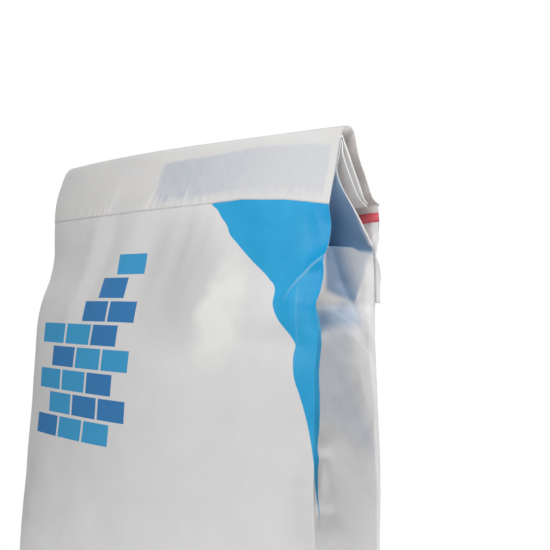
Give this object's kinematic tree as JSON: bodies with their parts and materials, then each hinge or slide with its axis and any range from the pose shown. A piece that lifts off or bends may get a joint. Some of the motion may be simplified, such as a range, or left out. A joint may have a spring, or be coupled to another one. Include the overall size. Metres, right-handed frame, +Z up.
{
  "type": "filled paper sack",
  "caption": "Gusseted paper sack filled with dry building powder, standing on its block bottom, its mouth folded to the back under a paper band.",
  "frame": {"origin": "centre of the flat base that the sack stands on", "axes": "+X across the width to the sack's right-hand side as seen from the front, -Y out of the printed front panel, +Z up to the folded top"},
  "size_m": [0.412, 0.1634, 0.54],
  "materials": {
    "sack_paper": "smooth white coated kraft paper with a blue printed corner panel",
    "band_paper": "thin white paper, slightly see-through",
    "tear_tape": "red paper tape with a white reverse side"
  },
  "bodies": {
    "root": {"sack": "sack_paper", "closure_band": "band_paper", "tear_tape": "tear_tape"}
  },
  "joints": []
}
